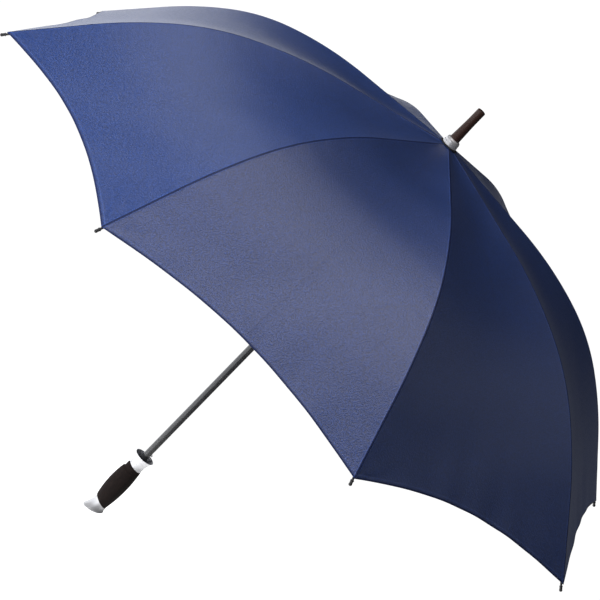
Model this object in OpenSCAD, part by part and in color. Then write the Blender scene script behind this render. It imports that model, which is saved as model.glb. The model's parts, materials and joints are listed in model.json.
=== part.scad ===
// Golf umbrella with an eight-rib canopy, stored open.
// Origin: centre of the hand grip on the shaft axis. +Z runs up the shaft to the ferrule.
// The thumb side of the handle faces -X.

/* [Shaft] */
// Outer diameter of the steel shaft tube
shaft_d = 12.7; // [12:0.1:14]
// Wall of the shaft tube
shaft_wall = 0.9; // [0.7:0.1:1]
// Height of the shaft's upper end above the grip centre
shaft_top = 862; // [855:1:866]

/* [Frame] */
// Height of the rib hinges above the grip centre
hinge_z = 809; // [809:1:811]
// Radius of the hinge wire in the crown and the runner
hinge_r = 11; // [11:0.1:11.5]
// Diameter of a rib rod
rib_d = 4; // [3.6:0.1:4]
// Length of the last straight stretch of each rib
rib_end_len = 125; // [119:1:125]
// Drop of the stretcher pin below the rib
pin_drop = 7; // [6.8:0.1:7.4]

/* [Canopy] */
// Thickness of the canopy solid
cloth_t = 0.8; // [0.6:0.1:1]
// How far a panel sags inside the chord between its ribs
panel_sag = 12; // [4:1:16]
// Depth of the scallop in each hem
hem_scallop = 34; // [20:1:40]

/* [Handle] */
// Grip radius at its two ends
grip_end_r = 13.4; // [13:0.1:14]
// Grip radius at its middle
grip_mid_r = 17.1; // [16:0.1:18]
// Height of the raised palm swell on the thumb side
palm_swell = 2.4; // [1.5:0.1:2.6]
// Rim radius of the tip cup
cup_rim_r = 18.4; // [18:0.1:19]
// Push button radius
button_r = 4.6; // [4:0.1:4.6]

/* [Hidden] */
$fn = 48;
RIBS = 8;
HALF = 180 / RIBS;
SINGLES = ["ferrule", "top_cap", "rosette", "crown", "crown_wire", "shaft", "handle_core", "collar",
           "grip", "end_cap", "push_button", "button_spring", "catch_lever", "catch_pin",
           "spring_seat", "opening_spring", "spring_follower", "runner", "runner_wire", "tie_strap"];
SETS = ["rib_inner", "rib_outer", "stretcher", "rib_tip", "canopy"];

shaft_r = shaft_d / 2;
bore_r = shaft_r - shaft_wall;
slide_gap = 0.08;

// The rib centre line starts at its hinge, dropping by drop_0 degrees, and is a chain of arcs:
// each entry is an arc's length and the drop angle at its end.
drop_0 = 9;
ARCS = [[190, 9], [163, 21], [130, 37], [130, 46.5], [rib_end_len, 46.5]];
knee_s = ARCS[0][0] + ARCS[1][0];
rib_s = knee_s + ARCS[2][0] + ARCS[3][0] + ARCS[4][0];
corner_s = rib_s - 2;
HINGE = [hinge_r, hinge_z];

function heading(a) = [cos(a), -sin(a)];
function lift(a) = [sin(a), cos(a)];
// End of an arc of length len that starts at p with drop a and ends with drop b
function arc_end(p, a, len, b) =
    a == b ? p + len * heading(a)
           : p + len / ((b - a) * PI / 180) * [sin(b) - sin(a), cos(b) - cos(a)];
// [point, drop angle] where arc i starts
function arc_start(i) =
    i == 0 ? [HINGE, drop_0]
           : let (at = arc_start(i - 1)) [arc_end(at[0], at[1], ARCS[i - 1][0], ARCS[i - 1][1]), ARCS[i - 1][1]];
// [point, drop angle] at a distance s along arc i
function on_arc(i, s) =
    let (at = arc_start(i), e = at[1] + (ARCS[i][1] - at[1]) * s / ARCS[i][0]) [arc_end(at[0], at[1], s, e), e];
// [point, drop angle] at a distance s along the rib
function rib_at(s, i = 0) =
    s <= ARCS[i][0] || i == len(ARCS) - 1 ? on_arc(i, s) : rib_at(s - ARCS[i][0], i + 1);

knee_at = rib_at(knee_s);
knee_drop = knee_at[1];
KNEE = knee_at[0] - 1.5 * lift(knee_drop);
PIN = knee_at[0] - 10 * heading(knee_drop) - pin_drop * lift(knee_drop);
stretch_len = norm(PIN - HINGE);
RUNNER = [hinge_r, 2 * PIN[1] - hinge_z];
stretch_drop = atan2(PIN[1] - RUNNER[1], PIN[0] - RUNNER[0]);

// Each stretch of a rib is a little thinner than the one before it and runs this far into it
rib_step = 0.06;
lap = 0.5;

pin_r = 1;
pin_gap = 0.06;
wire_r = 0.78;
wire_gap = 0.08;
plate_t = 1.6;
lug_r = 2.8;
eye_r = 2.2;
tongue_t = 1.8;
channel_h = 3.4;
channel_w = 3.5;
fork_gap = 0.95;
slot_w = 2.5;
slot_r = 8.4;
ring_r = 14.5;

cloth_lift = rib_d / 2 + 1.3;
cloth_edge = 0.05;
cloth_r0 = 9;

grip_half = 44;
core_r = 10.5;
top_tilt = 0.183;
end_tilt = 0.364;
button_z = 39.5;
catch_z = 56;
hook_z = 80;
seat_z = 88;
cup_z = 68;
cup_floor = 54;
plug_z = RUNNER[1] - 12;
// How far the runner slides down the shaft as the ribs fold
travel = 533;

// A closed solid through equal rings with an even number of points. Each end is closed by a strip
// of triangles that runs from one half of its ring to the other.
module loft(rings) {
    n = len(rings[0]);
    m = len(rings);
    side = [for (i = [0:m - 2]) for (j = [0:n - 1])
            let (k = (j + 1) % n, a = i * n + j, b = a + n, c = (i + 1) * n + k, d = i * n + k)
            each [[a, b, c], [a, c, d]]];
    first = [for (j = [0:n / 2 - 2]) each [[j, j + 1, n - 2 - j], [j, n - 2 - j, n - 1 - j]]];
    last = [for (f = first) [for (v = [2:-1:0]) (m - 1) * n + f[v]]];
    polyhedron(points = [for (r = rings) each r],
               faces = [for (f = concat(side, first, last)) if (f[0] != f[1] && f[1] != f[2] && f[2] != f[0]) f]);
}

// A coil spring along +Z
module coil(r, wire, length, turns, steps) {
    loft([for (i = [0:turns * steps])
          let (a = 360 * i / steps, z = wire + (length - 2 * wire) * i / (turns * steps))
          [for (q = [45:90:315])
           [(r + wire * cos(q)) * cos(a), (r + wire * cos(q)) * sin(a), z - wire * sin(q)]]]);
}

// The plane of rib k: x is the distance from the shaft axis and y is height
module rib_plane(k) {
    rotate([0, 0, (2 * k - 1) * HALF]) rotate([90, 0, 0]) children();
}

// A round rod along arc i of the rib, from distance s0 to s1 on it
module rod(i, s0, s1, r) {
    p = on_arc(i, s0);
    a = p[1];
    b = on_arc(i, s1)[1];
    if (a == b)
        bar(p[0], a, 0, s1 - s0, r);
    else {
        bend = (s1 - s0) / ((b - a) * PI / 180);
        c = p[0] - bend * lift(a);
        translate([c[0], c[1], 0]) rotate([0, 0, 90 - b])
            rotate_extrude(angle = b - a) translate([bend, 0]) circle(r = r);
    }
}

// A straight round bar in the rib plane, from p in direction a below level
module bar(p, a, from, to, r) {
    translate([p[0], p[1], 0]) rotate([0, 0, -a]) translate([from, 0, 0])
        rotate([0, 90, 0]) cylinder(h = to - from, r = r);
}

module plate(t, lift_by = 0) {
    translate([0, 0, lift_by]) linear_extrude(t, center = true) children();
}

// A flat strip between two points of the rib plane
module strip(p, q, w) {
    d = q - p;
    translate(p) rotate(atan2(d[1], d[0])) translate([0, -w / 2]) square([norm(d), w]);
}

module pin_hole(p, r) {
    translate([p[0], p[1], 0]) cylinder(h = 20, r = r, center = true);
}

// A point of the canopy's surface: s along the rib, phi from the rib, up above the rib's centre line
function cloth(s, phi, up) =
    let (at = rib_at(s), side = HALF - abs(phi), chord = cos(HALF) / cos(side),
         sag = panel_sag * sin(180 * s / rib_s) * (1 - pow(side / HALF, 2)),
         r = (at[0][0] + up * sin(at[1])) * chord - sag * sin(at[1]),
         z = at[0][1] + up * cos(at[1]) - sag * cos(at[1]))
    [r * cos(phi), r * sin(phi), z];
function hem(phi) = corner_s - hem_scallop * (1 - pow((HALF - abs(phi)) / HALF, 2));

module canopy(k) {
    s0 = (cloth_r0 - hinge_r) / cos(drop_0);
    across = [for (j = [-3:3]) (HALF - cloth_edge) * j / 3];
    along = [for (i = [0:18]) i / 18];
    color("midnightblue") rotate([0, 0, (2 * k - 1) * HALF])
        loft([for (u = along)
              concat([for (j = [6:-1:0]) cloth(s0 + (hem(across[j]) - s0) * u, across[j], cloth_lift + cloth_t)],
                     [for (j = [0:6]) cloth(s0 + (hem(across[j]) - s0) * u, across[j], cloth_lift)])]);
}

module tie_strap() {
    low = cloth_lift + cloth_t + 0.3;
    color("midnightblue") rotate([0, 0, 5 * HALF])
        loft([for (s = [470:20:650])
              [cloth(s, 9, low + 1.2), cloth(s, 6.5, low + 1.2), cloth(s, 6.5, low), cloth(s, 9, low)]]);
}

module rib_inner(k) {
    color("black") rib_plane(k) difference() {
        union() {
            plate(tongue_t) {
                translate(HINGE) circle(r = eye_r);
                strip(HINGE, rib_at(16)[0], 3.2);
            }
            rod(0, 12, ARCS[0][0], rib_d / 2);
            rod(1, -lap, ARCS[1][0] - 16, rib_d / 2 - rib_step);
            bar(knee_at[0], knee_drop, -20, -5, 2.6);
            plate(plate_t) {
                strip(knee_at[0] - 14 * heading(knee_drop), KNEE, 3.6);
                translate(KNEE) circle(r = lug_r);
                strip(PIN + pin_drop * lift(knee_drop), PIN, 2 * lug_r);
                translate(PIN) circle(r = lug_r);
            }
        }
        pin_hole(HINGE, wire_r + wire_gap);
        pin_hole(KNEE, pin_r + pin_gap);
        pin_hole(PIN, pin_r + pin_gap);
    }
}

module rib_outer(k) {
    cheek_t = 1;
    // Small enough to pass the folded stretcher
    cheek_r = 2.4;
    color("black") rib_plane(k) {
        for (side = [-1, 1]) plate(cheek_t, side * (fork_gap + cheek_t / 2)) {
            translate(KNEE) circle(r = cheek_r);
            strip(KNEE, knee_at[0] + 9 * heading(knee_drop), 3.6);
        }
        translate([KNEE[0], KNEE[1], 0]) cylinder(h = 4.8, r = pin_r, center = true);
        bar(knee_at[0], knee_drop, 5, 18, 2.6);
        rod(2, 12, ARCS[2][0], rib_d / 2);
        rod(3, -lap, ARCS[3][0], rib_d / 2 - rib_step);
        rod(4, -lap, ARCS[4][0], rib_d / 2 - 3 * rib_step);
    }
}

module rib_tip(k) {
    at = rib_at(rib_s);
    color("black") rib_plane(k) {
        bar(at[0], at[1], 0, 5, 2.4);
        bar(at[0], at[1], 0, 1.2, 2.9);
        translate(concat(at[0] + 6.6 * heading(at[1]), 0)) sphere(r = 2.7);
    }
}

module stretcher(k) {
    fork = channel_w / 2 - fork_gap;
    // The channel's web starts past the rib's knee lug
    web_from = 16;
    color("black") rib_plane(k) translate([PIN[0], PIN[1], 0]) rotate([0, 0, 180 + stretch_drop])
        difference() {
            union() {
                for (side = [-1, 1]) plate(fork, side * (fork_gap + fork / 2)) {
                    circle(r = lug_r);
                    translate([0, -channel_h / 2]) square([stretch_len - 10, channel_h]);
                }
                translate([web_from, channel_h / 2 - 0.8, -channel_w / 2])
                    cube([stretch_len - 10 - web_from, 0.8, channel_w]);
                cylinder(h = 4.8, r = pin_r, center = true);
                plate(2 * fork_gap) translate([stretch_len - 22, -channel_h / 2]) square([12, channel_h]);
                plate(tongue_t) {
                    translate([stretch_len - 12, -1.6]) square([12, 3.2]);
                    translate([stretch_len, 0]) circle(r = eye_r);
                }
            }
            pin_hole([stretch_len, 0], wire_r + wire_gap);
        }
}

// The slots that the rib or stretcher ends swing in, one for each rib
module hinge_slots(z) {
    for (k = [1:RIBS]) rotate([0, 0, (2 * k - 1) * HALF])
        translate([slot_r, -slot_w / 2, z - 10]) cube([20, slot_w, 20]);
}

module hinge_ring(z) {
    translate([0, 0, z]) rotate_extrude() translate([hinge_r, 0]) circle(r = wire_r, $fn = 24);
}

module tube(r_out, r_in, z0, z1) {
    translate([0, 0, z0]) difference() {
        cylinder(h = z1 - z0, r = r_out);
        translate([0, 0, -1]) cylinder(h = z1 - z0 + 2, r = r_in);
    }
}

module crown() {
    color("dimgray") difference() {
        union() {
            tube(8.1, shaft_r, hinge_z - 16, hinge_z + 2);
            tube(ring_r, shaft_r, hinge_z - 5, hinge_z + 2);
        }
        hinge_slots(hinge_z);
        hinge_ring(hinge_z);
    }
}

module crown_wire() {
    color("silver") hinge_ring(hinge_z);
}

module runner() {
    z = RUNNER[1];
    color("black") difference() {
        union() {
            tube(8.6, shaft_r + slide_gap, z - 55, z + 2.5);
            tube(ring_r, shaft_r + slide_gap, z - 4.5, z + 2.5);
            tube(10.5, shaft_r + slide_gap, z - 55, z - 51);
            tube(9.6, shaft_r + slide_gap, z - 8, z - 4.5);
        }
        hinge_slots(z);
        hinge_ring(z);
        translate([6, -2.2, z - 50.5]) cube([6, 4.4, 9]);
        translate([0, 0, plug_z]) rotate([-90, 0, 0]) cylinder(h = 12, r = 1.2);
    }
}

module runner_wire() {
    color("silver") hinge_ring(RUNNER[1]);
}

module spring_follower() {
    color("silver") {
        translate([0, 0, plug_z - 5]) cylinder(h = 10, r = bore_r - 0.15);
        translate([0, 0, plug_z]) rotate([-90, 0, 0]) cylinder(h = 8.6, r = 1.2);
    }
}

module shaft() {
    slot_low = plug_z - travel - 19;
    color("black") difference() {
        tube(shaft_r, bore_r, -38, shaft_top);
        translate([-1.5, 0, slot_low]) cube([3, 10, plug_z + 2 - slot_low]);
        translate([0, -1.5, hook_z - 8]) cube([10, 3, 16]);
        translate([-10, 0, button_z]) rotate([0, 90, 0]) cylinder(h = 10, r = 2.3);
        translate([0, 0, catch_z]) rotate([90, 0, 0]) cylinder(h = 20, r = pin_r, center = true);
    }
}

module ferrule() {
    base = hinge_z + 18;
    top = hinge_z + 82;
    grooves = [for (i = [0:13]) let (z = base + 3 + 2.4 * i, r = 8.8 - 1.4 * (z - base) / 39)
               each [[r, z], [r - 0.3, z + 0.4], [r - 0.3, z + 0.9], [r, z + 1.3]]];
    dome = [for (a = [0:15:75]) [5.4 + 2 * cos(a), top - 2.4 + 2 * sin(a)]];
    color("#2a1d1a") rotate_extrude()
        polygon(concat([[shaft_r, base], [8.8, base]], grooves, [[7.4, base + 39]], dome,
                       [[0, top], [0, shaft_top], [shaft_r, shaft_top]]));
}

module top_cap() {
    foot = hinge_z + 5.4;
    dome = [for (a = [0:15:75]) [9.4 + 3.6 * cos(a), foot + 6.4 + 6 * sin(a)]];
    color("silver") rotate_extrude()
        polygon(concat([[shaft_r, foot + 0.9], [13.5, foot - 0.2], [13.5, foot + 4], [13, foot + 4.4],
                        [12.6, foot + 4.4], [12.6, foot + 5.2], [13, foot + 5.4]], dome,
                       [[9.2, hinge_z + 18], [shaft_r, hinge_z + 18]]));
}

module rosette() {
    low = hinge_z + (cloth_lift + cloth_t + 0.3) / cos(drop_0);
    edge_r = 17;
    fall = (edge_r - shaft_r) * tan(drop_0);
    rise = low + (hinge_r - shaft_r) * tan(drop_0);
    color("black") rotate_extrude()
        polygon([[shaft_r, rise], [edge_r, rise - fall], [edge_r, rise - fall + 0.8], [shaft_r, rise + 0.8]]);
}

module handle_core() {
    color("dimgray") difference() {
        translate([0, 0, -49]) cylinder(h = 93, r = core_r);
        translate([0, 0, -38]) cylinder(h = 100, r = shaft_r);
        translate([-20, 0, button_z]) rotate([0, 90, 0]) cylinder(h = 20, r = 2.06);
        translate([-20, 0, button_z]) rotate([0, 90, 0]) cylinder(h = 12, r = 3.6);
    }
}

// Everything below the sloping joint between the grip and the part above or below it
module below(z, slope) {
    rotate([0, atan(slope), 0]) translate([-60, -60, z * cos(atan(slope)) - 100]) cube([120, 120, 100]);
}

module collar() {
    // Radius of the trumpet curve outside
    flare = 50;
    waist_z = 46;
    rise = cup_z - waist_z;
    outer = [for (i = [0:6]) let (z = rise * i / 6) [grip_end_r + flare - sqrt(flare * flare - z * z), waist_z + z]];
    spread = cup_rim_r - outer[6][0];
    inner = [for (i = [5:-1:0]) let (z = cup_floor + (cup_z - cup_floor) * i / 5)
             [12.6 + 4.6 * pow(i / 5, 2) + spread, z]];
    color("silver") difference() {
        rotate_extrude()
            polygon(concat([[core_r, 36], [grip_end_r, 36]],
                           [for (p = outer) [p[0] + spread * (p[1] - waist_z) / rise, p[1]]], inner,
                           [[7.6, cup_floor], [7.6, 58], [shaft_r, 58], [shaft_r, 44], [core_r, 44]]));
        below(grip_half + 0.3, top_tilt);
    }
}

// Grip radius at height z and angle a around the axis
function swell(z) = z < 31 ? 1 - pow((z - 10) / 60, 2) : z > 34 ? 0 : 0.87 * (34 - z) / 3;
function grip_r(z, a) =
    grip_mid_r - (grip_mid_r - grip_end_r) * pow(z / grip_half, 2) + palm_swell * swell(z) * pow((1 - cos(a)) / 2, 2);

module grip() {
    steps = 32;
    levels = [0, 0.08, 0.18, 0.3, 0.42, 0.54, 0.66, 0.76, 0.82, 0.85, 0.87, 0.89, 0.91, 0.95, 1];
    color("#1c1a1a") difference() {
        loft([for (v = levels) [for (j = [0:steps - 1])
              let (a = 360 * j / steps, x = grip_end_r * cos(a),
                   z0 = -grip_half + 0.9 - end_tilt * x, z1 = grip_half + 0.2 - top_tilt * x,
                   z = z0 + (z1 - z0) * v, r = grip_r(z, a))
              [r * cos(a), r * sin(a), z]]]);
        translate([0, 0, -60]) cylinder(h = 120, r = core_r);
        translate([-30, 0, button_z]) rotate([0, 90, 0]) cylinder(h = 20, r = button_r + 0.3);
    }
}

// A ring of the end cap: x centre, radius, height on the axis and slope of its plane
function cap_ring(c, r, h, m) =
    [for (j = [0:31]) let (a = 360 * j / 32, x = c + r * cos(a)) [x, r * 0.97 * sin(a), h + m * x]];

module end_cap() {
    foot = [[0.2, -3.3], [0.5, -3.1], [0.8, -2.5], [0.93, -1.6], [0.99, -0.6]];
    side = [for (i = [8:-1:0]) i / 8];
    color("silver") difference() {
        loft(concat([for (f = foot) cap_ring(-3.2, 18.2 * f[0], -61.5 + f[1], 0.285)],
                    [for (t = side) cap_ring(-3.2 * t * t, grip_end_r + 4.7 * pow(t, 2.2),
                                             -43.6 - 17.9 * t, -end_tilt + 0.649 * t)]));
        translate([0, 0, -49]) cylinder(h = 40, r = core_r);
    }
}

module push_button() {
    color("black") translate([0, 0, button_z]) rotate([0, 90, 0]) {
        translate([0, 0, -14.8]) cylinder(h = 0.6, r1 = button_r - 0.8, r2 = button_r);
        translate([0, 0, -14.2]) cylinder(h = 1.5, r = button_r);
        translate([0, 0, -12.7]) cylinder(h = 10.8, r = 2);
    }
}

module button_spring() {
    color("silver") translate([-12.7, 0, button_z]) rotate([0, 90, 0]) coil(2.7, 0.25, 4.7, 3, 12);
}

module catch_lever() {
    t = 2.4;
    color("dimgray") difference() {
        translate([0, t / 2, 0]) rotate([90, 0, 0]) linear_extrude(t)
            polygon([[-1.6, 35], [1.6, 35], [1.6, 76.1], [9, 76.4], [9.2, 77.4], [3, 84], [-1.6, 84]]);
        translate([0, 0, catch_z]) rotate([90, 0, 0]) cylinder(h = 10, r = pin_r + pin_gap, center = true);
    }
}

module catch_pin() {
    color("silver") translate([0, 0, catch_z]) rotate([90, 0, 0]) cylinder(h = 12.4, r = pin_r, center = true);
}

module spring_seat() {
    color("silver") tube(bore_r, 1.5, seat_z, seat_z + 3);
}

module opening_spring() {
    z0 = seat_z + 3;
    color("silver") translate([0, 0, z0]) coil(4.5, 0.4, plug_z - 5 - z0, 20, 8);
}

ferrule();
top_cap();
rosette();
crown();
crown_wire();
shaft();
handle_core();
collar();
grip();
end_cap();
push_button();
button_spring();
catch_lever();
catch_pin();
spring_seat();
opening_spring();
spring_follower();
runner();
runner_wire();
tie_strap();
for (k = [1:RIBS]) {
    rib_inner(k);
    rib_outer(k);
    stretcher(k);
    rib_tip(k);
    canopy(k);
}
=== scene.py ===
"""Golf umbrella: the cloth, foam, lacquer and wire around its frame, and the studio they stand in.

Lengths are metres. The origin is the centre of the hand grip on the shaft axis, and +Z runs up
the shaft.
"""

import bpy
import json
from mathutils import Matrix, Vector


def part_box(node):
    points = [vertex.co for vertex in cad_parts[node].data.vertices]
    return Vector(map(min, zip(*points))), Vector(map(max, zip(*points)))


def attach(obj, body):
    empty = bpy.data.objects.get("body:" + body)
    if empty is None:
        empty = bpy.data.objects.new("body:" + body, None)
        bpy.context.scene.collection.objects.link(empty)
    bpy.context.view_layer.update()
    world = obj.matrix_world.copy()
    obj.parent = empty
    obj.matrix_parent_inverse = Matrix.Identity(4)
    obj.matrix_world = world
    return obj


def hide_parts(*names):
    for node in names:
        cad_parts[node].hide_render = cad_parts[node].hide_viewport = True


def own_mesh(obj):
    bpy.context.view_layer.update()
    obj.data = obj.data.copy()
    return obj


bl_info = {
    "name": "Golf umbrella",
    "version": (1, 0, 0),
    "blender": (4, 5, 0),
    "location": "View3D > Sidebar > Umbrella",
    "description": "Builds the cloth, handle and finishes of an open golf umbrella",
    "category": "Object",
}

import json
import math
import bpy
import numpy as np
from bpy.props import FloatProperty, FloatVectorProperty, PointerProperty
from mathutils import Matrix, Vector

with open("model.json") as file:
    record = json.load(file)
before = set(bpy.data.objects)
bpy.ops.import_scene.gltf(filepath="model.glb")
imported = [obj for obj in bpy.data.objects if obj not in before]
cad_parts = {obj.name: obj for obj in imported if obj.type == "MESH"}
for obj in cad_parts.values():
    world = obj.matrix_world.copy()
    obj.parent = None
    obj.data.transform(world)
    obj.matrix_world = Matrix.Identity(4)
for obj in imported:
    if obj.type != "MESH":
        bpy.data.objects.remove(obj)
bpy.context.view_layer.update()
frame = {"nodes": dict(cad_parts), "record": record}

# The canopy has eight ribs. Panel k lies between rib k and rib k + 1.
RIBS = 8
HALF = math.pi / RIBS

# The rib's centre line: its hinge, the drop angle there, and each arc's length and the drop angle
# at its end
HINGE_R = 0.011
HINGE_Z = sum(corner.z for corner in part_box("crown_wire")) / 2
DROP_0 = math.radians(9)
ARCS = [(0.190, math.radians(9)), (0.163, math.radians(21)), (0.130, math.radians(37)),
        (0.130, math.radians(46.5)), (0.125, math.radians(46.5))]
KNEE_S = ARCS[0][0] + ARCS[1][0]
RIB_S = sum(length for length, _ in ARCS)
CORNER_S = RIB_S - 0.002

# The cloth lies this far above the rib's centre line, measured to its middle
CLOTH_UP = 0.0036
CLOTH_T = 0.0003
CLOTH_R0 = 0.009

# The felled seam over a rib and the hem: how far the lap stands up, over what run, the seam's half
# width, and where each is stitched, from the rib's middle and from the hem's inner side
LAP = 0.00012
LAP_RUN = 0.0008
SEAM_HALF = 0.0034
SEAM_STITCH = 0.0024
HEM_STITCH = 0.0015
STITCH_PITCH = 0.0032


# ---------------------------------------------------------------- shapes

def smooth_step(t):
    """Zero below 0, one above 1, and 3 t squared minus 2 t cubed between."""
    t = np.clip(t, 0, 1)
    return t * t * (3 - 2 * t)


def bump(x, middle, width):
    """A bell: e to the minus the square of the distance from middle over width."""
    return np.exp(-((x - middle) / width) ** 2)


def rib_at(s):
    """Radius, height and drop angle of the rib's centre line at distance s from its hinge.

    Each arc turns evenly, so from its start it reaches s times sin(turn / 2) over (turn / 2),
    in the direction halfway between its drop angles there and at s."""
    s = np.asarray(s, float)
    radius, height, drop = np.zeros_like(s), np.zeros_like(s), np.zeros_like(s)
    at_r, at_z, at_drop, from_s = HINGE_R, HINGE_Z, DROP_0, 0.0
    for i, (length, end) in enumerate(ARCS):
        reach = s - from_s
        turn = (end - at_drop) * reach / length
        step = reach * np.sinc(turn / 2 / np.pi)
        here = (reach >= 0) | (i == 0)
        radius = np.where(here, at_r + step * np.cos(at_drop + turn / 2), radius)
        height = np.where(here, at_z - step * np.sin(at_drop + turn / 2), height)
        drop = np.where(here, at_drop + turn, drop)
        full = end - at_drop
        whole = length * np.sinc(full / 2 / np.pi)
        at_r = at_r + whole * np.cos(at_drop + full / 2)
        at_z = at_z - whole * np.sin(at_drop + full / 2)
        at_drop, from_s = end, from_s + length
    return radius, height, drop


def hem_at(psi, scallop):
    """Distance from the hinge to the hem: the corner's, less a scallop that falls as psi
    squared."""
    return CORNER_S - scallop * (1 - (psi / HALF) ** 2)


def creases(panel, s, psi, radius):
    """Height of the cloth's own folds.

    A slope each way from the pressed middle line, slow sine waves that die out at the ribs, ripples
    that run in from the hem, and at each rib tip a fan of puckers and a pull along the rib."""
    rng = np.random.default_rng(40 + panel % RIBS)
    across = psi * radius
    inside = 1 - (psi / HALF) ** 2
    edge = np.maximum(hem_at(psi, 0.034) - s, 0)
    height = -0.03 * np.abs(across) * np.exp(-np.abs(across) / 0.010)
    for _ in range(5):
        along, side, phase = rng.uniform(4, 16), rng.uniform(10, 45), rng.uniform(0, 2 * np.pi)
        size = rng.uniform(0.00015, 0.0004)
        height += size * inside * np.sin(2 * np.pi * along * s / 2 + side * across + phase)
    for _ in range(3):
        pitch, phase = rng.uniform(45, 90), rng.uniform(0, 2 * np.pi)
        height += 0.0003 * inside * np.exp(-edge / 0.07) * np.sin(pitch * across + phase)
    for sign in (-1, 1):
        sideways = (HALF - sign * psi) * radius
        inward = CORNER_S - s
        far = np.hypot(sideways, inward) + 1e-5
        fan = np.arctan2(sideways, np.maximum(inward, 0))
        fade = np.exp(-far / 0.055) * (1 - np.exp(-(far / 0.012) ** 2))
        fade = fade * np.minimum(sideways / 0.012, 1)
        height += 0.0004 * fade * np.cos(9 * fan + rng.uniform(0, 2 * np.pi))
        pull = np.exp(-sideways / 0.022) * np.minimum(sideways / 0.006, 1)
        wave = np.sin(2 * np.pi * s / rng.uniform(0.035, 0.06) + rng.uniform(0, 6))
        height += 0.00022 * pull * wave * smooth_step((s - 0.1) / 0.3)
    return height


def cloth(panel, s, psi, up, look, top=True):
    """A point of the canopy, s from the hinge along the ribs and psi from the panel's middle.

    Level lines run straight from rib to rib, so the radius is the rib's times cos(22.5 deg) /
    cos(psi), and the panel sags inside that chord by a half sine along s. The upper face also
    carries the felled seam along the rib and the turned hem, with a groove where each is
    stitched."""
    radius, height, drop = rib_at(s)
    chord = np.cos(HALF) / np.cos(psi)
    sag = look.sag * np.sin(np.pi * np.clip(s, 0, RIB_S) / RIB_S) * (1 - (np.abs(psi) / HALF) ** 2)
    rise = creases(panel, s, psi, radius) - sag
    if top:
        seam = (HALF - np.abs(psi)) * radius
        edge = hem_at(psi, look.scallop) - s
        hem_stitch = look.hem - HEM_STITCH
        rise = rise + LAP * smooth_step((SEAM_HALF - seam) / LAP_RUN)
        rise = rise - 0.0002 * bump(seam, 0, 0.0007)
        rise = rise - 0.00006 * bump(seam, SEAM_STITCH, 0.0004)
        rise = rise + LAP * smooth_step((look.hem - edge) / LAP_RUN)
        rise = rise - 0.00008 * bump(edge, hem_stitch, 0.0005) - 0.0001 * bump(edge, 0, 0.0007)
    r = (radius + up * np.sin(drop)) * chord + rise * np.sin(drop)
    z = height + up * np.cos(drop) + rise * np.cos(drop)
    a = 2 * panel * HALF + psi
    return np.stack([r * np.cos(a), r * np.sin(a), z], -1)


def normals_of(surface, s, psi, toward):
    """Unit normals of a surface: the cross product of its change over a short step along s and
    over one in psi, taken toward one side."""
    step_s, step_psi = 1e-4, 2e-4
    here = surface(s, psi)
    along = surface(s + step_s, psi) - here
    across = (surface(s, psi + toward * step_psi) - here) * toward
    n = np.cross(along, across)
    return n / np.linalg.norm(n, axis=-1, keepdims=True)


def grid_faces(rows, cols, close_rows=False, close_cols=False):
    """Quads between neighbouring rows and columns of a grid of points."""
    i, j = np.meshgrid(np.arange(rows if close_rows else rows - 1),
                       np.arange(cols if close_cols else cols - 1), indexing="ij")
    i2, j2 = (i + 1) % rows, (j + 1) % cols
    quads = np.stack([i * cols + j, i2 * cols + j, i2 * cols + j2, i * cols + j2], -1)
    return quads.reshape(-1, 4)


def shell_faces(rows, cols):
    """Quads of a thin closed shell: an upper grid, the lower one turned over, and walls round the
    rim. The lower grid's points follow the upper grid's."""
    count = rows * cols
    index = np.arange(count).reshape(rows, cols)
    around = np.concatenate([index[0, :-1], index[:-1, -1], index[-1, :0:-1], index[:0:-1, 0]])
    ahead = np.roll(around, -1)
    walls = np.stack([around, ahead, ahead + count, around + count], -1)
    quads = grid_faces(rows, cols)
    return np.concatenate([quads, quads[:, ::-1] + count, walls])


def mesh_piece(name, points, faces, material, uv=None, fields=None, normals=None):
    """A mesh object at the origin, from a list or an array of faces.

    uv, fields and normals hold one value for each point."""
    mesh = bpy.data.meshes.new(name)
    mesh.from_pydata(points.tolist(), [], faces if isinstance(faces, list) else faces.tolist())
    mesh.update()
    mesh.polygons.foreach_set("use_smooth", np.ones(len(mesh.polygons), bool))
    if uv is not None:
        corner = np.zeros(len(mesh.loops), np.int32)
        mesh.loops.foreach_get("vertex_index", corner)
        layer = mesh.uv_layers.new(name="UVMap")
        layer.data.foreach_set("uv", uv[corner].astype(np.float32).ravel())
    for key, value in (fields or {}).items():
        attribute = mesh.attributes.new(key, "FLOAT", "POINT")
        attribute.data.foreach_set("value", value.astype(np.float32))
    if normals is not None:
        mesh.normals_split_custom_set_from_vertices(normals.tolist())
    mesh.materials.append(material)
    piece = bpy.data.objects.new(name, mesh)
    bpy.context.scene.collection.objects.link(piece)
    return piece


def tube_along(centre, wire, sides):
    """Rings of points of a wire of the given radius along a path: at each point of the path, a
    circle in the plane across it."""
    ahead = np.gradient(centre, axis=0)
    ahead /= np.linalg.norm(ahead, axis=1, keepdims=True)
    side = np.cross(ahead, np.array([0.0, 0.0, 1.0]) + 1e-3)
    side /= np.linalg.norm(side, axis=1, keepdims=True)
    third = np.cross(side, ahead)
    a = np.linspace(0, 2 * np.pi, sides, endpoint=False)
    cos, sin = np.cos(a)[None, :, None], np.sin(a)[None, :, None]
    return centre[:, None] + wire * (cos * side[:, None] + sin * third[:, None])


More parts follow.
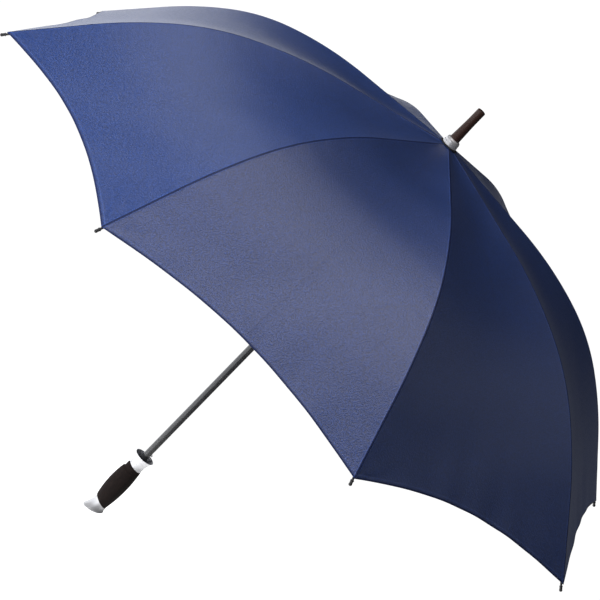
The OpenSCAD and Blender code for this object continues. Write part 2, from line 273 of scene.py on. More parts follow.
def closed_tube(name, rings, material):
    """A mesh through rings of points, with each end closed on a point at its middle."""
    rows, cols = rings.shape[:2]
    points = np.concatenate([rings.reshape(-1, 3), rings[0].mean(0)[None], rings[-1].mean(0)[None]])
    j = np.arange(cols)
    k = (j + 1) % cols
    first, last = rows * cols, rows * cols + 1
    low_fan = np.stack([k, j, np.full(cols, first)], -1)
    high_fan = np.stack([(rows - 1) * cols + j, (rows - 1) * cols + k, np.full(cols, last)], -1)
    faces = grid_faces(rows, cols, close_cols=True).tolist() + low_fan.tolist() + high_fan.tolist()
    piece = mesh_piece(name, points, faces, material)
    outward(piece.data)
    return piece


def outward(mesh):
    """Turns a closed mesh's faces over if its signed volume is negative: the sum over triangles of
    the triple product of their corners."""
    mesh.calc_loop_triangles()
    tri = np.zeros(len(mesh.loop_triangles) * 3, np.int32)
    mesh.loop_triangles.foreach_get("vertices", tri)
    co = np.zeros(len(mesh.vertices) * 3)
    mesh.vertices.foreach_get("co", co)
    p = co.reshape(-1, 3)[tri.reshape(-1, 3)]
    if np.einsum("ij,ij->i", p[:, 0], np.cross(p[:, 1], p[:, 2])).sum() < 0:
        mesh.flip_normals()
    mesh.update()


def smooth_by_angle(piece, degrees):
    """Marks edges sharper than an angle, so that rims stay crisp."""
    piece.data.set_sharp_from_angle(angle=math.radians(degrees))


# ---------------------------------------------------------------- finishes

def shade(color, share):
    """A colour times a share."""
    return tuple(channel * share for channel in color)


class Finish:
    """A material under construction: its nodes, and short ways to add and join them."""

    def __init__(self, name, color, roughness, metallic=0.0):
        self.material = bpy.data.materials.new(f"{name}_finish")
        self.material.use_nodes = True
        self.tree = self.material.node_tree
        self.shader = self.tree.nodes["Principled BSDF"]
        self.set("Base Color", (*color, 1))
        self.set("Roughness", roughness)
        self.set("Metallic", metallic)
        self.object_coords = self.add("ShaderNodeTexCoord").outputs["Object"]

    def set(self, socket, value):
        self.shader.inputs[socket].default_value = value

    def add(self, kind, inputs=None, **settings):
        node = self.tree.nodes.new(kind)
        for key, value in settings.items():
            setattr(node, key, value)
        for key, value in (inputs or {}).items():
            if isinstance(value, bpy.types.NodeSocket):
                self.tree.links.new(value, node.inputs[key])
            else:
                node.inputs[key].default_value = value
        return node

    def noise(self, scale, detail=3.0, stretch=None, roughness=0.55):
        """Noise on object coordinates, stretched along an axis where stretch says so."""
        where = self.object_coords
        if stretch:
            mapping = self.add("ShaderNodeMapping", {"Vector": where, "Scale": stretch})
            where = mapping.outputs["Vector"]
        return self.add("ShaderNodeTexNoise", {
            "Vector": where, "Scale": scale,
            "Detail": detail, "Roughness": roughness}).outputs["Fac"]

    def math(self, operation, a, b=0.0, clamp=False):
        node = self.add("ShaderNodeMath", operation=operation, use_clamp=clamp)
        for socket, value in zip(node.inputs, (a, b)):
            if isinstance(value, bpy.types.NodeSocket):
                self.tree.links.new(value, socket)
            else:
                socket.default_value = value
        return node.outputs[0]

    def spread(self, value, low, high, from_low=0.3, from_high=0.7):
        """A value carried in a straight line from one range to another, and held at its ends."""
        return self.add("ShaderNodeMapRange", {
            "Value": value, "From Min": from_low, "From Max": from_high,
            "To Min": low, "To Max": high}).outputs["Result"]

    def tint(self, amount, first, second):
        """A colour between two, by amount."""
        mix = self.add("ShaderNodeMix", data_type="RGBA")
        self.tree.links.new(amount, mix.inputs[0])
        for socket, value in ((mix.inputs[6], first), (mix.inputs[7], second)):
            if isinstance(value, bpy.types.NodeSocket):
                self.tree.links.new(value, socket)
            else:
                socket.default_value = (*value, 1)
        return mix.outputs[2]

    def join(self, value, socket):
        self.tree.links.new(value, self.shader.inputs[socket])

    def relief(self, height, distance, strength):
        """A bump on top of any there is."""
        node = self.add("ShaderNodeBump",
                        {"Height": height, "Distance": distance, "Strength": strength})
        before = self.shader.inputs["Normal"]
        if before.is_linked:
            self.tree.links.new(before.links[0].from_socket, node.inputs["Normal"])
        self.tree.links.new(node.outputs["Normal"], before)

    def stitches(self, position, line, along):
        """One on each thread of a row of stitches, and zero off it: near the line, and in the first
        seven tenths of each pitch."""
        half_thread, share = 0.0004, 0.7
        off = self.math("ABSOLUTE", self.math("SUBTRACT", position, line))
        near = self.math("LESS_THAN", off, half_thread)
        beat = self.math("FRACT", self.math("DIVIDE", along, STITCH_PITCH))
        return self.math("MULTIPLY", near, self.math("LESS_THAN", beat, share))


def cloth_finish(look):
    """Plain-woven satin polyester: crossed threads, a fine grain, stitched seams, a sheen, and
    painted shade along the middle crease, the rib seams and the hem's edge.
    """
    dye = look.cloth_color
    f = Finish("canopy_cloth", dye, 0.44)
    f.set("Sheen Weight", 0.01)
    f.set("IOR", 1.6)
    f.set("Sheen Roughness", 0.35)
    f.set("Sheen Tint", (*look.sheen_color, 1))
    f.set("Specular IOR Level", 0.95)
    uv = f.add("ShaderNodeUVMap", uv_map="UVMap").outputs["UV"]
    part = f.add("ShaderNodeSeparateXYZ", {"Vector": uv})
    across, along = part.outputs["X"], part.outputs["Y"]
    seam = f.add("ShaderNodeAttribute", attribute_name="seam").outputs["Fac"]
    edge = f.add("ShaderNodeAttribute", attribute_name="edge").outputs["Fac"]
    middle = f.add("ShaderNodeAttribute", attribute_name="middle").outputs["Fac"]
    thread = 2 * math.pi / look.thread
    warp = f.math("SINE", f.math("MULTIPLY", across, thread))
    weft = f.math("SINE", f.math("MULTIPLY", along, thread))
    weave = f.math("MULTIPLY", warp, weft)
    grain = f.noise(900, 4)
    slub = f.noise(260, 3, stretch=(1, 1, 0.25))
    cloud = f.noise(9, 3)
    mottle = f.noise(430, 3)
    stitch = f.math("ADD", f.stitches(edge, look.hem - HEM_STITCH, across),
                    f.stitches(seam, SEAM_STITCH, along), clamp=True)
    deep, light = shade(dye, 0.72), shade(dye, 1.25)
    color = f.tint(f.spread(grain, 0, 1, 0.35, 0.65), deep, light)
    color = f.tint(f.spread(cloud, 0, 0.3), color, deep)
    color = f.tint(f.spread(mottle, 1, 0, 0.36, 0.64), color, shade(dye, 0.4))
    # Painted shade: the cloth is darkened towards each panel's pressed middle crease, where shade
    # would fall
    crease = f.spread(middle, 0.22, 0, 0, 0.0018)
    # Painted shadow: a near-black blue line along each rib's seam groove
    groove = f.spread(seam, 0.85, 0, 0.0011, 0.0026)
    color = f.tint(f.math("MAXIMUM", crease, groove), color, (0.004, 0.006, 0.02))
    # Painted shadow: a dark band along the hem's turned edge
    rim = f.spread(edge, 0.9, 0, 0.0020, 0.0042)
    color = f.tint(rim, color, (0.006, 0.009, 0.03))
    color = f.tint(stitch, color, shade(dye, 1.6))
    f.join(color, "Base Color")
    # The painted shade along the seams and the hem also has its reflection tinted dark, so that it
    # stays dark under the lamps
    shaded_lines = f.math("MAXIMUM", groove, rim)
    f.join(f.tint(shaded_lines, (1, 1, 1), (0.04, 0.05, 0.09)), "Specular Tint")
    f.join(f.spread(slub, 0.36, 0.44), "Roughness")
    f.relief(mottle, 0.0010, 0.5)
    f.relief(weave, 0.00001, 0.5)
    f.relief(grain, 0.00006, 0.5)
    f.relief(slub, 0.0001, 0.3)
    f.relief(stitch, 0.0002, 0.8)
    return f.material


def foam_finish(look):
    """Closed-cell foam: black skin with pores and paler worn flecks."""
    f = Finish("grip_foam", look.foam_color, 0.85)
    f.set("Specular IOR Level", 0.1)
    cells = f.add("ShaderNodeTexVoronoi", {"Vector": f.object_coords, "Scale": 1100.0})
    pores = cells.outputs["Distance"]
    flecks = f.noise(700, 5, roughness=0.7)
    worn = f.noise(60, 3)
    color = f.tint(f.spread(flecks, 0, 1, 0.52, 0.68), look.foam_color, (0.022, 0.015, 0.013))
    color = f.tint(f.spread(worn, 0, 0.35), color, (0.010, 0.007, 0.006))
    f.join(color, "Base Color")
    f.join(f.spread(flecks, 0.7, 0.95), "Roughness")
    f.relief(pores, 0.00025, 0.6)
    f.relief(flecks, 0.0004, 0.6)
    return f.material


def silver_finish():
    """Satin silver lacquer over moulded plastic: metal flake and slow changes of gloss."""
    f = Finish("satin_silver", (0.45, 0.45, 0.46), 0.34, 0.8)
    flake = f.noise(2600, 2)
    cloud = f.noise(70, 3)
    f.join(f.tint(f.spread(flake, 0, 1), (0.37, 0.37, 0.385), (0.53, 0.53, 0.54)), "Base Color")
    f.join(f.spread(cloud, 0.28, 0.42), "Roughness")
    f.relief(flake, 0.00005, 0.4)
    return f.material


def paint_finish(name, color, roughness, rub_along=(1, 1, 0.04)):
    """Black paint on metal: fine rubs along the part and a thin clear coat."""
    f = Finish(name, color, roughness)
    f.set("Coat Weight", 0.35)
    f.set("Coat Roughness", 0.12)
    rubs = f.noise(1500, 3, stretch=rub_along)
    f.join(f.spread(rubs, roughness * 0.8, roughness * 1.35), "Roughness")
    f.join(f.tint(f.spread(f.noise(120, 3), 0, 1), color, shade(color, 1.8)), "Base Color")
    f.relief(rubs, 0.00004, 0.4)
    return f.material


def moulded_finish(name, color, roughness, grain=0.00012):
    """Moulded plastic: spark-eroded grain and slow changes of gloss."""
    f = Finish(name, color, roughness)
    f.set("Specular IOR Level", 0.3)
    texture = f.noise(1800, 3)
    f.join(f.spread(f.noise(90, 2), roughness * 0.85, roughness * 1.2), "Roughness")
    f.join(f.tint(f.spread(texture, 0, 1), shade(color, 0.8), shade(color, 1.5)), "Base Color")
    f.relief(texture, grain, 0.5)
    return f.material


def steel_finish(name, color, roughness):
    """Drawn or pressed steel: fine lines along it."""
    f = Finish(name, color, roughness, 1.0)
    lines = f.noise(1700, 3, stretch=(1, 1, 0.05))
    f.join(f.spread(lines, roughness * 0.75, roughness * 1.4), "Roughness")
    f.join(f.tint(f.spread(f.noise(200, 3), 0, 1), shade(color, 0.8), color), "Base Color")
    f.relief(lines, 0.00003, 0.5)
    return f.material


def finish(slot, look):
    """The material of one slot of the record, made once."""
    made = bpy.data.materials.get(f"{slot}_finish")
    if made:
        return made
    return {
        "canopy_cloth": lambda: cloth_finish(look),
        "grip_foam": lambda: foam_finish(look),
        "satin_silver": silver_finish,
        "black_shaft": lambda: paint_finish(slot, (0.012, 0.012, 0.013), 0.16),
        "rib_steel": lambda: paint_finish(slot, (0.016, 0.016, 0.017), 0.32, (0.3, 0.3, 0.3)),
        "rib_fibre": lambda: moulded_finish(slot, (0.016, 0.016, 0.017), 0.3, 0.00005),
        "frame_nylon": lambda: moulded_finish(slot, (0.022, 0.022, 0.024), 0.46),
        "ferrule_nylon": lambda: moulded_finish(slot, (0.011, 0.0048, 0.0036), 0.42),
        "rosette_black": lambda: moulded_finish(slot, (0.008, 0.008, 0.009), 0.6),
        "button_black": lambda: moulded_finish(slot, (0.012, 0.012, 0.013), 0.25, 0.00005),
        "spring_steel": lambda: steel_finish(slot, (0.60, 0.60, 0.61), 0.24),
        "bare_steel": lambda: steel_finish(slot, (0.45, 0.45, 0.46), 0.34),
    }[slot]()


# ---------------------------------------------------------------- settings

class UmbrellaLook(bpy.types.PropertyGroup):
    """Sizes and colours of the cloth and the handle."""

    cloth_color: FloatVectorProperty(
        name="Cloth colour", description="Colour of the canopy cloth",
        default=(0.0076, 0.0235, 0.100), subtype="COLOR", min=0, max=1)
    sheen_color: FloatVectorProperty(
        name="Sheen colour", description="Colour of the cloth's sheen at a low angle",
        default=(0.75, 0.78, 0.95), subtype="COLOR", min=0, max=1)
    foam_color: FloatVectorProperty(
        name="Foam colour", description="Colour of the grip's foam",
        default=(0.0035, 0.0025, 0.0025), subtype="COLOR", min=0, max=1)
    sag: FloatProperty(
        name="Panel sag", description="How far a panel sags inside the chord between its ribs",
        default=0.012, unit="LENGTH", min=0, max=0.03)
    scallop: FloatProperty(
        name="Hem scallop", description="Depth of the curve in each panel's hem",
        default=0.034, unit="LENGTH", min=0, max=0.06)
    hem: FloatProperty(
        name="Hem width", description="Width of the turned and stitched hem",
        default=0.0082, unit="LENGTH", min=0.004, max=0.02)
    thread: FloatProperty(
        name="Thread pitch", description="Distance between the threads of the weave",
        default=0.0008, unit="LENGTH", min=0.0002, max=0.003)


class UmbrellaStudio(bpy.types.PropertyGroup):
    """The room: floor height, lamps and the camera."""

    floor_height: FloatProperty(
        name="Floor height", description="Height of the floor from the middle of the grip",
        default=-1.1, unit="LENGTH")
    key_power: FloatProperty(
        name="Key lamp", description="Power of the lamp on the thumb side",
        default=315.0, min=0, unit="POWER")
    top_power: FloatProperty(
        name="Top lamp", description="Power of the lamp over the canopy; the side lamp follows it",
        default=27.0, min=0, unit="POWER")
    fill_power: FloatProperty(
        name="Fill lamp", description="Power of the lamp on the side away from the thumb",
        default=32.0, min=0, unit="POWER")
    rim_power: FloatProperty(
        name="Rim lamp", description="Power of the lamp behind the thumb side",
        default=4.2, min=0, unit="POWER")
    elevation: FloatProperty(
        name="Camera elevation", description="Angle of the camera above the rib tips' plane",
        default=math.radians(15.51), subtype="ANGLE", unit="ROTATION")
    azimuth: FloatProperty(
        name="Camera azimuth", description="Where the camera stands around the shaft, from +X",
        default=math.radians(271.8), subtype="ANGLE", unit="ROTATION")
    roll: FloatProperty(
        name="Camera roll", description="Turn of the camera about its own axis",
        default=math.radians(44.29), subtype="ANGLE", unit="ROTATION")
    distance: FloatProperty(
        name="Camera distance", description="From the middle of the rib tips' plane",
        default=4.028, unit="LENGTH")
    lens: FloatProperty(
        name="Lens", description="Focal length in millimetres", default=147.72, min=20, max=400)


# ---------------------------------------------------------------- the pieces


def fold_away(piece, outer):
    """Works out the unit chord of the stretch of rib under half a panel, at the cloth's height, and
    gives the piece a mesh of its own. Nothing folds the piece, and the chord is not used."""
    s_from, s_to = (KNEE_S, RIB_S) if outer else (0.0, KNEE_S)
    radius, height, drop = rib_at(np.array([s_from, s_to]))
    r = radius + CLOTH_UP * np.sin(drop)
    z = height + CLOTH_UP * np.cos(drop)
    chord = np.array([r[1] - r[0], z[1] - z[0]])
    chord /= np.linalg.norm(chord)
    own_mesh(piece)


# Distances of the cloth's closest lines: from the rib, from the panel's middle and from the hem
SEAM_STEPS = np.array([0, 0.0003, 0.0007, 0.0012, 0.0019, 0.0024, 0.0029, 0.0034, 0.0042, 0.007])
MIDDLE_STEPS = np.array([0.016, 0.009, 0.005, 0.0025, 0.001, 0])
HEM_STEPS = np.array([0.016, 0.011, 0.0088, 0.0082, 0.0077, 0.0072, 0.0067, 0.0062, 0.0055, 0.003,
                      0.0012, 0.0005, 0])


def half_panel(k, sign, outer, look):
    """Half a panel on one side of rib k, as a thin closed shell.

    Its rows run from rib to panel middle at one distance s, close together in the hem, and its
    columns are close together at the seam and at the middle crease. The upper and lower faces are
    the cloth surface half a thickness either way, and the open edges are walled."""
    panel = k if sign > 0 else k - 1
    toward = -sign
    plain_cols = 22 if outer else 14
    plain_rows = 58 if outer else 40
    share = np.linspace(0, 1, plain_cols + 2)[1:-1]
    s_start = KNEE_S if outer else (CLOTH_R0 - HINGE_R) / math.cos(DROP_0)

    def place(s_rib):
        """Angles from the rib of one row's columns."""
        radius = np.maximum(rib_at(s_rib)[0], 0.001)
        shrink = np.minimum(1, 0.35 * HALF * radius / MIDDLE_STEPS[0])[:, None]
        near = SEAM_STEPS[None] * shrink / radius[:, None]
        far = HALF - MIDDLE_STEPS[None] * shrink / radius[:, None]
        between = near[:, -1:] + (far[:, :1] - near[:, -1:]) * share[None]
        return np.concatenate([near, between, far], 1)

    if outer:
        u = np.linspace(0, 1, plain_rows + 1)[:-1]
        end = CORNER_S - HEM_STEPS[0]
        from_rib = place(np.concatenate([s_start + (end - s_start) * u, CORNER_S - HEM_STEPS]))
        psi = -sign * (HALF - from_rib)
        hem = hem_at(psi, look.scallop)
        plain = s_start + (hem[:plain_rows] - HEM_STEPS[0] - s_start) * u[:, None]
        s = np.concatenate([plain, hem[plain_rows:] - HEM_STEPS[:, None]])
    else:
        u = np.linspace(0, 1, plain_rows)
        from_rib = place(s_start + (KNEE_S - s_start) * u)
        psi = -sign * (HALF - from_rib)
        s = (s_start + (KNEE_S - s_start) * u)[:, None] + 0 * psi
    rows, cols = s.shape

    def upper(s_at, psi_at):
        return cloth(panel, s_at, psi_at, CLOTH_UP + CLOTH_T / 2, look)

    def lower(s_at, psi_at):
        return cloth(panel, s_at, psi_at, CLOTH_UP - CLOTH_T / 2, look, top=False)

    faces_up = normals_of(upper, s, psi, toward)
    faces_down = -normals_of(lower, s, psi, toward)
    points = np.concatenate([upper(s, psi).reshape(-1, 3), lower(s, psi).reshape(-1, 3)])
    faces = shell_faces(rows, cols)
    if sign < 0:
        faces = faces[:, ::-1]
    if np.cross(points[cols] - points[0], points[1] - points[0])[2] * sign < 0:
        faces = faces[:, ::-1]
    radius = rib_at(s)[0]
    seam = from_rib * radius
    uv = np.stack([psi * radius, s], -1).reshape(-1, 2)
    fields = {"seam": seam, "edge": hem_at(psi, look.scallop) - s, "middle": np.abs(psi) * radius}
    both = {key: np.tile(value.ravel(), 2) for key, value in fields.items()}
    normals = np.concatenate([faces_up.reshape(-1, 3), faces_down.reshape(-1, 3)])
    name = f"panel_{'outer' if outer else 'inner'}_{k}{'b' if sign > 0 else 'a'}"
    piece = mesh_piece(name, points, faces, finish("canopy_cloth", look), np.tile(uv, (2, 1)), both,
                       normals)

    top = upper(s, psi)
    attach(piece, f"rib_end_{k}" if outer else f"rib_{k}")
    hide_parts(f"canopy_{k}")
    fold_away(piece, outer)


class UMBRELLA_OT_canopy(bpy.types.Operator):
    """Builds the cloth canopy: eight panels, each cut at its middle and at the ribs' knees"""
    bl_idname = "umbrella.canopy"
    bl_label = "Canopy"

    def execute(self, context):
        for k in range(1, RIBS + 1):
            for sign in (-1, 1):
                for outer in (False, True):
                    half_panel(k, sign, outer, context.scene.umbrella_look)
        return {"FINISHED"}


class UMBRELLA_OT_tie_strap(bpy.types.Operator):
    """Builds the strap that ties the closed canopy, lying flat on the cloth beside rib 3"""
    bl_idname = "umbrella.tie_strap"
    bl_label = "Tie strap"

    def execute(self, context):
        """A band of constant width whose ends are rounded, and whose rim is rolled over."""
        look = context.scene.umbrella_look
        k, half_width, s_low, s_high = 3, 0.0105, 0.472, 0.648
        u = np.linspace(0, np.pi, 90)
        spaced = np.sign(np.cos(u)) * np.abs(np.cos(u)) ** 0.8
        along = (s_low + s_high) / 2 - (s_high - s_low) / 2 * spaced
        from_end = np.clip(np.minimum(along - s_low, s_high - along) / 0.008, 0, 1)
        wide = half_width * np.sqrt(np.clip(1 - (1 - from_end) ** 2, 0.0004, 1))
        across = np.linspace(-1, 1, 25)
        s = along[:, None] + 0 * across[None]
        offset = wide[:, None] * across[None]
        radius = rib_at(s)[0]
        psi = -HALF + math.radians(7.75) + offset / radius
        off = np.abs(across)
        rim = 0.0002 * smooth_step((off[None] - 0.72) / 0.08) * (1 - bump(off, 1, 0.06))[None]
        rim = rim - 0.0003 * bump(off, 0.82, 0.03)[None]
        base = CLOTH_UP + 0.0008
        top = cloth(k, s, psi, base + 0.0009 + rim, look, top=False)
        low = cloth(k, s, psi, base, look, top=False)
        points = np.concatenate([top.reshape(-1, 3), low.reshape(-1, 3)])
        uv = np.tile(np.stack([offset, s], -1).reshape(-1, 2), (2, 1))
        far = np.full(2 * s.size, 0.05)
        edge = np.tile((wide[:, None] - np.abs(offset)).ravel() + 0.0047, 2)
        fields = {"seam": far, "edge": edge, "middle": far}
        piece = mesh_piece("strap", points, shell_faces(*s.shape), finish("canopy_cloth", look), uv,
                           fields)
        outward(piece.data)
        smooth_by_angle(piece, 50)
        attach(piece, f"rib_end_{k}")
        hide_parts("tie_strap")
        fold_away(piece, True)
        return {"FINISHED"}


# The handle: the grip's half length, its radius at the ends and the middle, its bore, how steeply
# its two ends slope towards the thumb side, and the push button's height and well
GRIP_HALF = 0.044
GRIP_END_R = 0.0134
GRIP_MID_R = 0.0171
CORE_R = 0.0105
LOW_TILT = 0.364
HIGH_TILT = 0.183
BUTTON_Z = 0.0395
WELL_R = 0.0049


def grip_radius(z, a):
    """Barrel that thins with the square of height, with a palm swell on the thumb side that grows
    as one minus the square of the distance from its middle, and stops below the button."""
    below_button = 0.87 * smooth_step((0.0345 - z) / 0.0035)
    swell = np.where(z < 0.031, 1 - ((z - 0.010) / 0.060) ** 2, below_button)
    thumb = ((1 - np.cos(a)) / 2) ** 2
    return GRIP_MID_R - (GRIP_MID_R - GRIP_END_R) * (z / GRIP_HALF) ** 2 + 0.0024 * swell * thumb


class UMBRELLA_OT_grip(bpy.types.Operator):
    """Builds the foam grip, with a well for the push button"""
    bl_idname = "umbrella.grip"
    bl_label = "Foam grip"

    def execute(self, context):
        """A sleeve: at each angle, a loop of points up the outside, over a rounded rim, and down
        the core."""
        look = context.scene.umbrella_look
        a = np.linspace(0, 2 * np.pi, 96, endpoint=False)[:, None]
        v = np.concatenate([[0, 0.004, 0.012], np.linspace(0.025, 0.76, 40),
                            np.linspace(0.775, 0.985, 30), [0.992, 0.997, 1]])[None]
        x = GRIP_END_R * np.cos(a)
        low = -GRIP_HALF + 0.00075 - LOW_TILT * x
        high = GRIP_HALF + 0.0002 - HIGH_TILT * x
        z = low + (high - low) * v
        from_rim = np.clip(np.minimum(v, 1 - v) / 0.012, 0, 1)
        inset = 0.0008 * (1 - np.sqrt(np.clip(1 - (1 - from_rim) ** 2, 0, 1)))
        r = grip_radius(z, a) - inset
        inside_z = high + (low - high) * np.linspace(0, 1, 24)[None]
        r = np.concatenate([r, CORE_R + 0 * inside_z], 1)
        z = np.concatenate([z, inside_z], 1)
        rings = np.stack([r * np.cos(a), r * np.sin(a), z], -1)
        rows, cols = rings.shape[:2]
        faces = grid_faces(rows, cols, close_rows=True, close_cols=True)
        foam = finish("grip_foam", look)
        piece = mesh_piece("foam_grip", rings.reshape(-1, 3), faces, foam)
        outward(piece.data)
        t = np.linspace(0, 2 * np.pi, 64, endpoint=False)
        disc = np.stack([0 * t, WELL_R * np.cos(t), BUTTON_Z + WELL_R * np.sin(t)], -1)
        ends = np.array([-0.030, -0.0105 * 0.62])
        rings = disc[None] + np.stack([ends, 0 * ends, 0 * ends], -1)[:, None]
        cutter = closed_tube("well_cutter", rings, foam)
        cut = piece.modifiers.new("well", "BOOLEAN")
        cut.operation, cut.object, cut.solver = "DIFFERENCE", cutter, "EXACT"
        depsgraph = context.evaluated_depsgraph_get()
        depsgraph.update()
        carved = bpy.data.meshes.new_from_object(piece.evaluated_get(depsgraph))
        piece.modifiers.clear()
        piece.data = carved
        bpy.data.objects.remove(cutter)
        smooth_by_angle(piece, 40)
        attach(piece, "handle_and_shaft")
        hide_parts("grip")
        return {"FINISHED"}


class UMBRELLA_OT_end_cap(bpy.types.Operator):
    """Builds the silver end cap, which flares into a finger hook on the thumb side"""
    bl_idname = "umbrella.end_cap"
    bl_label = "End cap"

    def execute(self, context):
        """Rings whose middle drifts to the thumb side as the square of the way down, whose radius
        grows as its 2.2nd power and whose plane turns evenly, closed by a dome that falls as the
        root of one minus the fourth power of its radius."""
        t = np.linspace(0, 1, 40)
        centre, radius = -0.0032 * t ** 2, GRIP_END_R + 0.0047 * t ** 2.2
        height, slope = -0.0436 - 0.0179 * t, -LOW_TILT + 0.649 * t
        turn = np.linspace(0.03, 0.97, 26) * np.pi / 2
        scale = np.cos(turn)
        dome = -0.00335 * np.sqrt(1 - scale ** 4)
        centre = np.concatenate([centre, np.full(scale.size, -0.0032)])
        radius = np.concatenate([radius, 0.0181 * scale])
        height = np.concatenate([height, -0.0615 + dome])
        slope = np.concatenate([slope, np.full(scale.size, 0.285)])
        rim = np.concatenate([[0.35, 0.7, 0.93], np.ones(radius.size)])
        centre, radius = (np.concatenate([np.full(3, q[0]), q]) for q in (centre, radius))
        height, slope = (np.concatenate([np.full(3, q[0]), q]) for q in (height, slope))
        radius = radius * rim
        a = np.linspace(0, 2 * np.pi, 96, endpoint=False)[None]
        x = centre[:, None] + radius[:, None] * np.cos(a)
        y = 0.97 * radius[:, None] * np.sin(a)
        z = height[:, None] + slope[:, None] * x
        silver = finish("satin_silver", context.scene.umbrella_look)
        piece = closed_tube("silver_end_cap", np.stack([x, y, z], -1), silver)
        smooth_by_angle(piece, 40)
        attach(piece, "handle_and_shaft")
        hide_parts("end_cap")
        return {"FINISHED"}


def coil_points(radius, start, end, turns, steps):
    """Points of a coil along +Z: the angle runs evenly, and the height too, but for most of a turn
    at each end, which lies flat."""
    t = np.linspace(0, turns, turns * steps + 1)
    flat = 0.9
    lifted = np.clip(t - flat, 0, turns - 2 * flat) / (turns - 2 * flat)
    a = 2 * np.pi * t
    return np.stack([radius * np.cos(a), radius * np.sin(a), start + (end - start) * lifted], -1)


class UMBRELLA_OT_springs(bpy.types.Operator):
    """Builds the long spring that opens the umbrella and the small one under its button"""
    bl_idname = "umbrella.springs"
    bl_label = "Springs"

    def execute(self, context):
        """Coils between their seats."""
        steel = finish("spring_steel", context.scene.umbrella_look)
        wire = 0.0004
        low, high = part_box("spring_seat")[1].z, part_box("spring_follower")[0].z
        path = coil_points(0.0045, low + wire, high - wire, 64, 16)
        main = closed_tube("main_spring", tube_along(path, wire, 6), steel)
        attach(main, "handle_and_shaft")
        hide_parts("opening_spring")
        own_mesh(main)
        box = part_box("button_spring")
        wire = 0.00025
        path = coil_points(0.0027, box[0].x + wire, box[1].x - wire, 5, 24)
        path = np.stack([path[:, 2], path[:, 1], BUTTON_Z - path[:, 0]], -1)
        small = closed_tube("button_coil", tube_along(path, wire, 8), steel)
        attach(small, "handle_and_shaft")
        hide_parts("button_spring")
        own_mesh(small)
        return {"FINISHED"}


class UMBRELLA_OT_finishes(bpy.types.Operator):
    """Gives every part of the frame that stays in view its finish"""
    bl_idname = "umbrella.finishes"
    bl_label = "Frame finishes"

    def execute(self, context):
        look = context.scene.umbrella_look
        for row in frame["record"]["subparts"]:
            mesh = frame["nodes"][row["node"]].data
            mesh.materials.clear()
            mesh.materials.append(finish(row["material_slot"], look))
        return {"FINISHED"}


# ---------------------------------------------------------------- the studio

# The rib tips' height, at which the camera and the lamps aim, and the frame's shift from it
TIP_Z = 0.504
SHIFT = (-0.0317, -0.0362)

# Where the key lamp stands, how its power is shared between a part that shows in no reflection and
# one that does, and the side lamp's power as a share of the top lamp's
KEY_WAY = (-0.70, -0.68, 0.25)
KEY_HIDDEN, KEY_SHOWN = 0.88, 0.12
SIDE_SHARE = 0.085

# The white that the camera sees behind the umbrella, and the least glow of the room on it
PAPER_GLOW = 1.05
LEAST_GLOW = 0.012


def area_lamp(name, way, distance, side, power, color=(1, 1, 1), gloss=True):
    """A soft square lamp that faces the middle of the rib tips' plane. Without gloss it shows in
    no reflection."""
    data = bpy.data.lights.new(name, "AREA")
    data.shape, data.size, data.size_y = "RECTANGLE", side, side
    data.energy, data.color = power, color
    lamp = bpy.data.objects.new(name, data)
    way = Vector(way).normalized()
    lamp.location = Vector((0, 0, TIP_Z)) + way * distance
    lamp.rotation_euler = way.to_track_quat("Z", "Y").to_euler()
    lamp.visible_glossy = gloss
    bpy.context.scene.collection.objects.link(lamp)


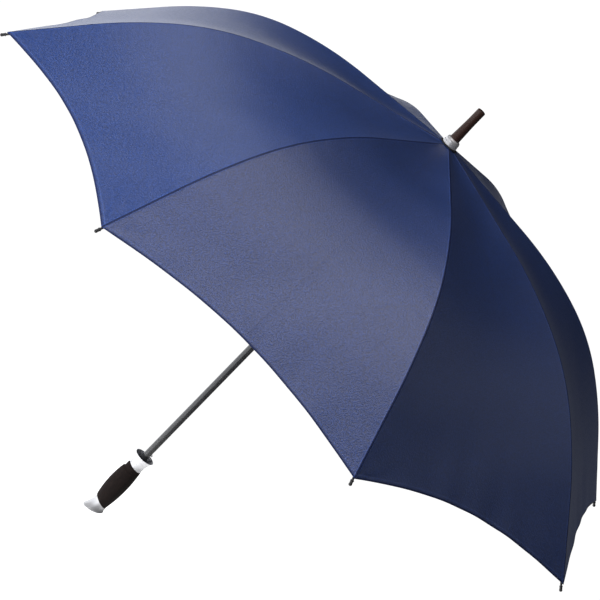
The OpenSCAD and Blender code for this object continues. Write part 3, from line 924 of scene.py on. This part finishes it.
class UMBRELLA_OT_stage(bpy.types.Operator):
    """Builds the camera, the lamps, the pale floor and the white room"""
    bl_idname = "umbrella.stage"
    bl_label = "Studio"

    def execute(self, context):
        scene = context.scene
        studio = scene.umbrella_studio
        flat = math.cos(studio.elevation)
        back = Vector((flat * math.cos(studio.azimuth), flat * math.sin(studio.azimuth),
                       math.sin(studio.elevation)))
        level = Vector((-math.sin(studio.azimuth), math.cos(studio.azimuth), 0))
        above = back.cross(level)
        right = level * math.cos(studio.roll) + above * math.sin(studio.roll)
        up = above * math.cos(studio.roll) - level * math.sin(studio.roll)
        data = bpy.data.cameras.new("camera")
        data.lens, data.sensor_width, data.clip_end = studio.lens, 36, 60
        data.shift_x, data.shift_y = SHIFT
        camera = bpy.data.objects.new("camera", data)
        place = Matrix.Translation(Vector((0, 0, TIP_Z)) + back * studio.distance)
        camera.matrix_world = place @ Matrix((right, up, back)).transposed().to_4x4()
        scene.collection.objects.link(camera)
        scene.camera = camera

        area_lamp("key_lamp", KEY_WAY, 3.0, 2.6, KEY_HIDDEN * studio.key_power, gloss=False)
        area_lamp("key_card", KEY_WAY, 3.0, 2.6, KEY_SHOWN * studio.key_power)
        area_lamp("top_lamp", (-0.24, -0.28, 0.93), 2.6, 2.4, studio.top_power, (1, 0.94, 0.92))
        area_lamp("side_lamp", (0.60, 0.10, 0.78), 2.6, 1.6, SIDE_SHARE * studio.top_power)
        area_lamp("fill_lamp", (0.98, 0.10, 0.05), 3.0, 2.0, studio.fill_power, gloss=False)
        area_lamp("rim_lamp", (-0.71, 0.28, 0.645), 2.6, 1.0, studio.rim_power)

        reach = 3.0
        a = np.linspace(0, 2 * np.pi, 64, endpoint=False)
        height = np.full(a.size, studio.floor_height)
        ring = np.stack([reach * np.cos(a), reach * np.sin(a), height], -1)
        mesh = bpy.data.meshes.new("floor")
        mesh.from_pydata(ring.tolist(), [], [list(range(a.size))])
        pale = Finish("floor_pale", (0.9, 0.9, 0.9), 0.7)
        cloud = pale.spread(pale.noise(3, 2), 0, 1)
        pale.join(pale.tint(cloud, (0.88, 0.88, 0.88), (0.92, 0.92, 0.92)), "Base Color")
        pale.set("Emission Color", (1, 1, 1, 1))
        pale.set("Emission Strength", 1.0)
        mesh.materials.append(pale.material)
        floor = bpy.data.objects.new("floor", mesh)
        scene.collection.objects.link(floor)

        world = bpy.data.worlds.new("room")
        scene.world = world
        world.use_nodes = True
        tree = world.node_tree
        paper = tree.nodes["Background"]
        paper.inputs["Color"].default_value = (1, 1, 1, 1)
        paper.inputs["Strength"].default_value = PAPER_GLOW
        dim = tree.nodes.new("ShaderNodeBackground")
        dim.inputs["Color"].default_value = (0.95, 0.97, 1, 1)
        way = tree.nodes.new("ShaderNodeSeparateXYZ")
        tree.links.new(tree.nodes.new("ShaderNodeTexCoord").outputs["Generated"], way.inputs[0])

        def fade(value, low, high, from_low, from_high):
            """A value carried by a smooth step from one range to another."""
            node = tree.nodes.new("ShaderNodeMapRange")
            node.interpolation_type = "SMOOTHSTEP"
            tree.links.new(value, node.inputs["Value"])
            for key, number in (("From Min", from_low), ("From Max", from_high),
                                ("To Min", low), ("To Max", high)):
                node.inputs[key].default_value = number
            return node.outputs["Result"]

        low_sky = fade(way.outputs["Z"], 1, 0, 0.00, 0.16)
        left = fade(way.outputs["X"], 1.8, 0.12, -0.25, 0.15)
        glow = tree.nodes.new("ShaderNodeMath")
        glow.operation = "MULTIPLY_ADD"
        tree.links.new(low_sky, glow.inputs[0])
        tree.links.new(left, glow.inputs[1])
        glow.inputs[2].default_value = LEAST_GLOW
        tree.links.new(glow.outputs[0], dim.inputs["Strength"])
        ray = tree.nodes.new("ShaderNodeLightPath")
        mix = tree.nodes.new("ShaderNodeMixShader")
        tree.links.new(ray.outputs["Is Camera Ray"], mix.inputs[0])
        tree.links.new(dim.outputs[0], mix.inputs[1])
        tree.links.new(paper.outputs[0], mix.inputs[2])
        tree.links.new(mix.outputs[0], tree.nodes["World Output"].inputs["Surface"])
        scene.view_settings.view_transform = "Standard"
        return {"FINISHED"}


# ---------------------------------------------------------------- panel and registration

OPERATORS = (UMBRELLA_OT_stage, UMBRELLA_OT_finishes, UMBRELLA_OT_canopy, UMBRELLA_OT_tie_strap,
             UMBRELLA_OT_grip, UMBRELLA_OT_end_cap, UMBRELLA_OT_springs)


class UMBRELLA_PT_sidebar(bpy.types.Panel):
    """Lists the umbrella's settings and the pieces it can build"""
    bl_idname = "UMBRELLA_PT_sidebar"
    bl_label = "Golf umbrella"
    bl_space_type = "VIEW_3D"
    bl_region_type = "UI"
    bl_category = "Umbrella"

    def draw(self, context):
        for group in (context.scene.umbrella_look, context.scene.umbrella_studio):
            for key in group.bl_rna.properties.keys():
                if key not in ("rna_type", "name"):
                    self.layout.prop(group, key)
        for operator in OPERATORS:
            self.layout.operator(operator.bl_idname)


CLASSES = (UmbrellaLook, UmbrellaStudio, *OPERATORS, UMBRELLA_PT_sidebar)


def register():
    for cls in CLASSES:
        bpy.utils.register_class(cls)
    bpy.types.Scene.umbrella_look = PointerProperty(type=UmbrellaLook)
    bpy.types.Scene.umbrella_studio = PointerProperty(type=UmbrellaStudio)


def unregister():
    del bpy.types.Scene.umbrella_studio
    del bpy.types.Scene.umbrella_look
    for cls in reversed(CLASSES):
        bpy.utils.unregister_class(cls)


def main():
    """Registers the classes and builds the studio and every piece."""
    register()
    for operator in OPERATORS:
        group, name = operator.bl_idname.split(".")
        if getattr(getattr(bpy.ops, group), name)() != {"FINISHED"}:
            raise RuntimeError(f"{operator.bl_label} was not built")
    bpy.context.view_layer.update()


if __name__ == "__main__":
    main()
